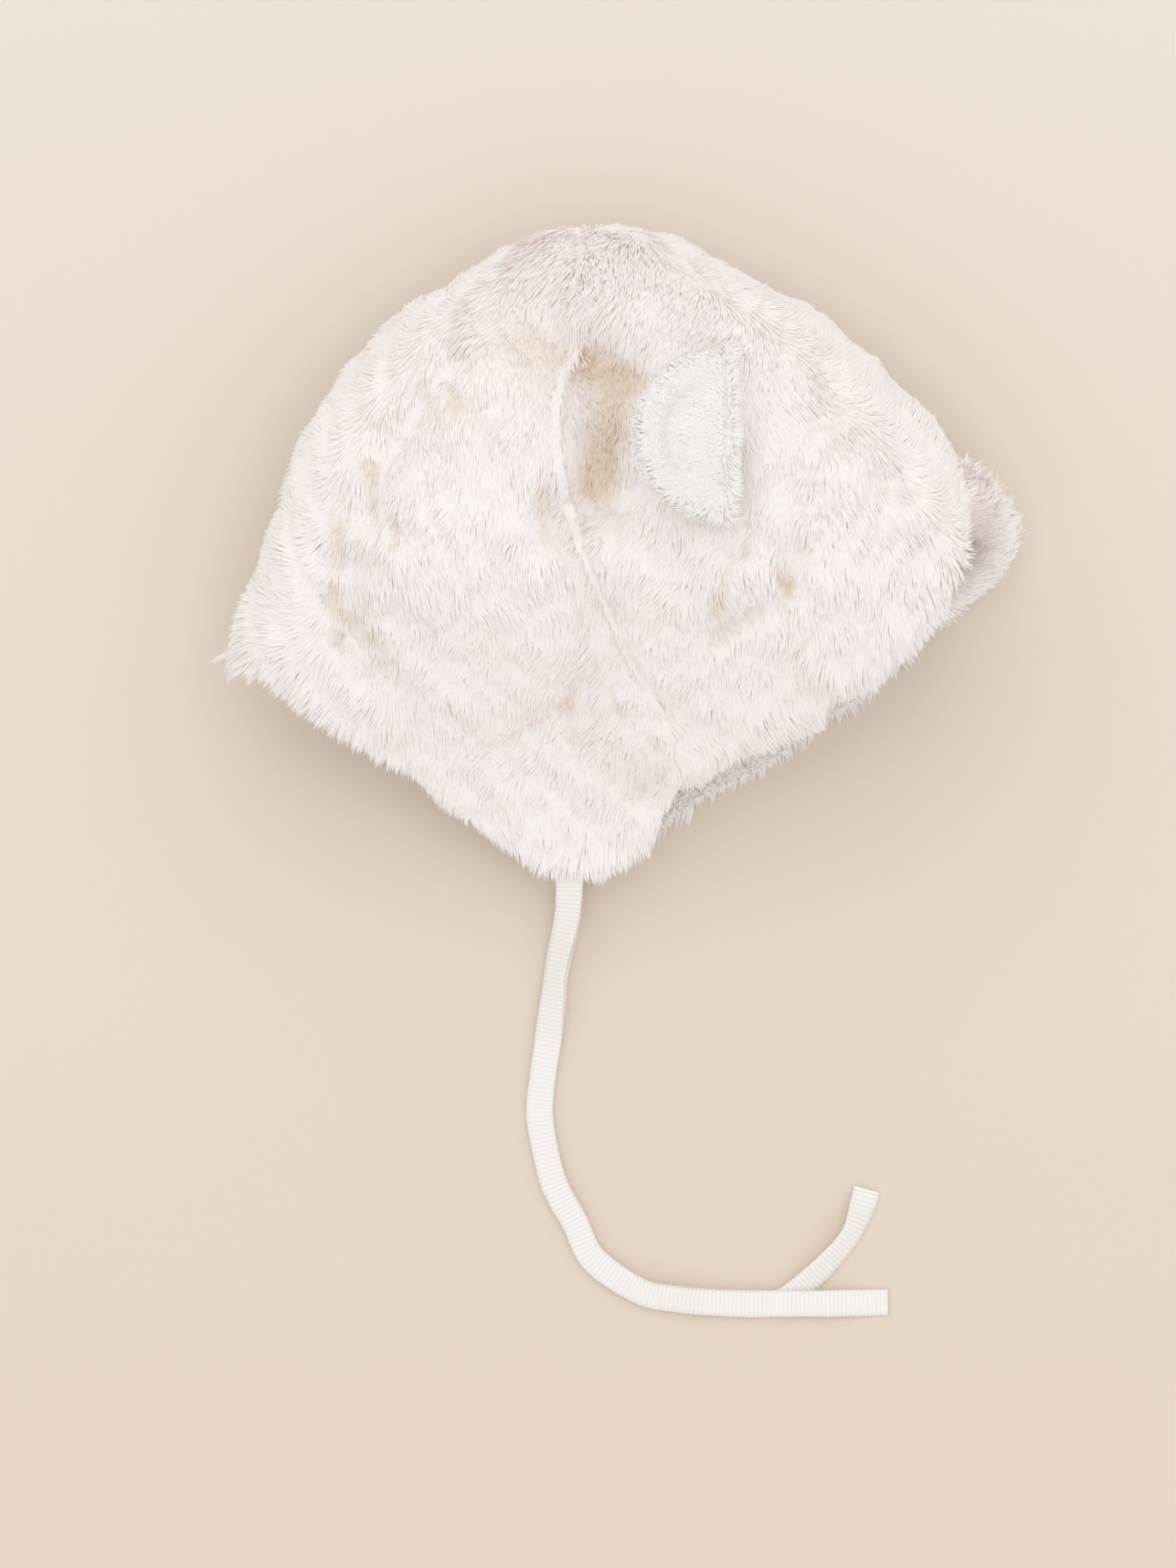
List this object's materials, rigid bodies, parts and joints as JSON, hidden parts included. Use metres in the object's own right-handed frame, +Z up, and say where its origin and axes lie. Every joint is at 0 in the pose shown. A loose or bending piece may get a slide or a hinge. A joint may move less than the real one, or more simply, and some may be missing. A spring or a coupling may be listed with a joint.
{
  "type": "newborn hat",
  "caption": "Newborn bonnet of cream teddy fur with round bear ears, ear flaps and woven tape ties, lying on its side.",
  "frame": {"origin": "on the surface it lies on, under the middle of the fur bonnet without its ties", "axes": "+Z up off the surface, +X towards the face opening, +Y towards the crown of the head"},
  "size_m": [0.1889, 0.256, 0.0928],
  "materials": {
    "teddy_fur": "deep cream pile",
    "ear_fur": "short cream pile",
    "woven_tape": "ribbed matt weave"
  },
  "bodies": {
    "root": {"back_section": "teddy_fur", "front_section": "teddy_fur", "ear_near": "ear_fur", "ear_far": "ear_fur", "tie_near": "woven_tape", "tie_far": "woven_tape"}
  },
  "joints": []
}
